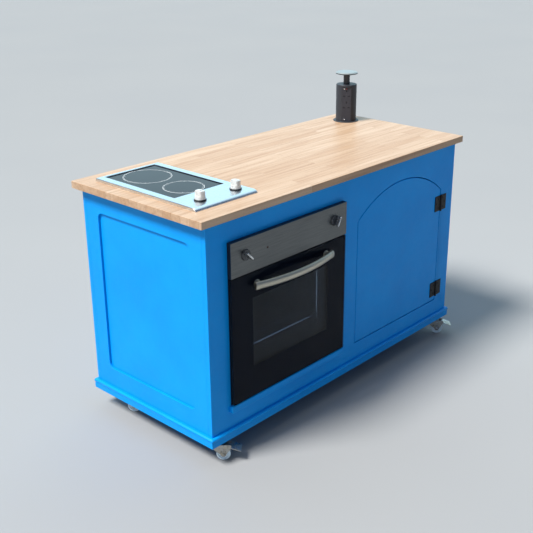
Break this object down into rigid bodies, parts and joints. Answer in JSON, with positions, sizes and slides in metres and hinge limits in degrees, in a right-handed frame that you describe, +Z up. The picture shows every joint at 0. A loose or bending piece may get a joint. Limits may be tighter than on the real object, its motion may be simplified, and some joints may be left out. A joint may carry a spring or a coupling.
{
  "type": "cookery island",
  "caption": "Mobile kitchen island: painted cabinet on casters with built-in oven, hob, arched cupboard and pull-up socket tower.",
  "frame": {"origin": "on the floor, in the middle of the whole footprint from the oven handle's front to the worktop's back", "axes": "+X to the right along the front, +Y from the front to the back, +Z up; the oven and the cupboard door face -Y"},
  "size_m": [1.5, 0.722, 1.118],
  "materials": {
    "blue_paint": "satin",
    "beech": "oiled",
    "plain_timber": "sawn",
    "brushed_steel": "brushed",
    "galvanised_sheet": "satin",
    "black_enamel": "gloss",
    "door_glass": "polished",
    "hob_ceramic": "polished",
    "lamp_lens": "gloss",
    "chrome": "polished",
    "silver_plastic": "satin",
    "satin_metal": "satin",
    "black_plastic": "matte",
    "charcoal_plastic": "matte",
    "heater": "matte",
    "seal_rubber": "matte",
    "hinge_black": "powder coated",
    "zinc": "zinc plated",
    "nylon": "satin",
    "cap_metal": "satin"
  },
  "bodies": {
    "cabinet": {"base_board": "blue_paint", "front_frame": "blue_paint", "side_frames": "blue_paint", "side_boards": "blue_paint", "back_panel": "blue_paint", "centre_divider": "plain_timber", "oven_shelf_board": "plain_timber", "cupboard_shelf": "plain_timber", "battens": "plain_timber", "plinth_moulding": "blue_paint", "oven_ledge": "blue_paint", "cable_grommet": "black_plastic", "worktop": "beech", "hob_frame": "brushed_steel", "hob_glass": "hob_ceramic", "hob_casing": "galvanised_sheet", "hob_heaters": "heater", "hob_knob_bezels": "black_plastic", "oven_casing": "galvanised_sheet", "oven_cavity": "black_enamel", "oven_control_panel": "brushed_steel", "oven_indicator_lamp": "lamp_lens", "oven_switches": "black_plastic", "oven_door_seal": "seal_rubber", "oven_shelf_runners": "chrome", "oven_wire_shelf": "chrome", "oven_tray": "black_enamel", "oven_heating_elements": "heater", "oven_hinge_lugs": "zinc", "door_hinge_frame_leaves": "hinge_black", "fixing_screws": "zinc", "latch_body": "black_plastic", "tower_sleeve": "charcoal_plastic", "caster_plates": "zinc"},
    "oven_door": {"oven_door_frame": "black_enamel", "oven_door_glass": "door_glass", "oven_inner_glass": "door_glass", "oven_handle_bar": "satin_metal", "oven_handle_posts": "satin_metal"},
    "cupboard_door": {"cupboard_door": "blue_paint", "door_hinge_leaves": "hinge_black", "door_hinge_pins": "hinge_black"},
    "hob_knob_left": {"hob_knob_left": "silver_plastic"},
    "hob_knob_right": {"hob_knob_right": "silver_plastic"},
    "oven_knob_left": {"oven_knob_left": "chrome"},
    "oven_knob_right": {"oven_knob_right": "chrome"},
    "latch_plunger": {"latch_plunger": "nylon"},
    "socket_tower": {"tower_body": "charcoal_plastic", "tower_sockets": "charcoal_plastic", "tower_cap": "cap_metal"},
    "front_left_fork": {"front_left_fork": "zinc"},
    "front_left_wheel": {"front_left_wheel": "nylon"},
    "front_left_brake_pedal": {"front_left_brake_pedal": "zinc"},
    "front_right_fork": {"front_right_fork": "zinc"},
    "front_right_wheel": {"front_right_wheel": "nylon"},
    "front_right_brake_pedal": {"front_right_brake_pedal": "zinc"},
    "back_left_fork": {"back_left_fork": "zinc"},
    "back_left_wheel": {"back_left_wheel": "nylon"},
    "back_right_fork": {"back_right_fork": "zinc"},
    "back_right_wheel": {"back_right_wheel": "nylon"}
  },
  "joints": [
    {"name": "oven_door_hinge", "type": "hinge", "parent": "cabinet", "child": "oven_door", "pos_m": [-0.332, -0.3, 0.209], "axis": [1, 0, 0], "range_deg": [0, 90]},
    {"name": "cupboard_door_hinge", "type": "hinge", "parent": "cabinet", "child": "cupboard_door", "pos_m": [0.6295, -0.2935, 0.434], "axis": [0, 0, 1], "range_deg": [0, 170]},
    {"name": "latch_press", "type": "slide", "parent": "cabinet", "child": "latch_plunger", "axis": [0, 1, 0], "range_m": [0, 0.003], "stiffness_N_per_m": 400},
    {"name": "socket_tower_slide", "type": "slide", "parent": "cabinet", "child": "socket_tower", "axis": [0, 0, 1], "range_m": [-0.206, 0]},
    {"name": "hob_knob_left_turn", "type": "hinge", "parent": "cabinet", "child": "hob_knob_left", "pos_m": [-0.622, -0.165, 0.912], "axis": [0, 0, -1], "range_deg": [0, 270]},
    {"name": "hob_knob_right_turn", "type": "hinge", "parent": "cabinet", "child": "hob_knob_right", "pos_m": [-0.46, -0.165, 0.912], "axis": [0, 0, -1], "range_deg": [0, 270]},
    {"name": "oven_knob_left_turn", "type": "hinge", "parent": "cabinet", "child": "oven_knob_left", "pos_m": [-0.562, -0.308, 0.741], "axis": [0, 1, 0], "range_deg": [-135, 135]},
    {"name": "oven_knob_right_turn", "type": "hinge", "parent": "cabinet", "child": "oven_knob_right", "pos_m": [-0.102, -0.308, 0.741], "axis": [0, 1, 0], "range_deg": [-30, 240]},
    {"name": "front_left_swivel", "type": "hinge", "parent": "cabinet", "child": "front_left_fork", "pos_m": [-0.682, -0.259, 0.062], "axis": [0, 0, 1], "continuous": true},
    {"name": "front_left_wheel_spin", "type": "hinge", "parent": "front_left_fork", "child": "front_left_wheel", "pos_m": [-0.66232, -0.28164, 0.025], "axis": [0.7547, 0.6561, 0], "continuous": true},
    {"name": "front_left_brake", "type": "hinge", "parent": "front_left_fork", "child": "front_left_brake_pedal", "pos_m": [-0.6492, -0.29674, 0.054], "axis": [-0.7547, -0.6561, 0], "range_deg": [0, 15]},
    {"name": "front_right_swivel", "type": "hinge", "parent": "cabinet", "child": "front_right_fork", "pos_m": [0.656, -0.259, 0.062], "axis": [0, 0, 1], "continuous": true},
    {"name": "front_right_wheel_spin", "type": "hinge", "parent": "front_right_fork", "child": "front_right_wheel", "pos_m": [0.67568, -0.28164, 0.025], "axis": [0.7547, 0.6561, 0], "continuous": true},
    {"name": "front_right_brake", "type": "hinge", "parent": "front_right_fork", "child": "front_right_brake_pedal", "pos_m": [0.6888, -0.29674, 0.054], "axis": [-0.7547, -0.6561, 0], "range_deg": [0, 15]},
    {"name": "back_left_swivel", "type": "hinge", "parent": "cabinet", "child": "back_left_fork", "pos_m": [-0.682, 0.226, 0.062], "axis": [0, 0, 1], "continuous": true},
    {"name": "back_left_wheel_spin", "type": "hinge", "parent": "back_left_fork", "child": "back_left_wheel", "pos_m": [-0.66232, 0.20336, 0.025], "axis": [0.7547, 0.6561, 0], "continuous": true},
    {"name": "back_right_swivel", "type": "hinge", "parent": "cabinet", "child": "back_right_fork", "pos_m": [0.656, 0.226, 0.062], "axis": [0, 0, 1], "continuous": true},
    {"name": "back_right_wheel_spin", "type": "hinge", "parent": "back_right_fork", "child": "back_right_wheel", "pos_m": [0.67568, 0.20336, 0.025], "axis": [0.7547, 0.6561, 0], "continuous": true}
  ]
}
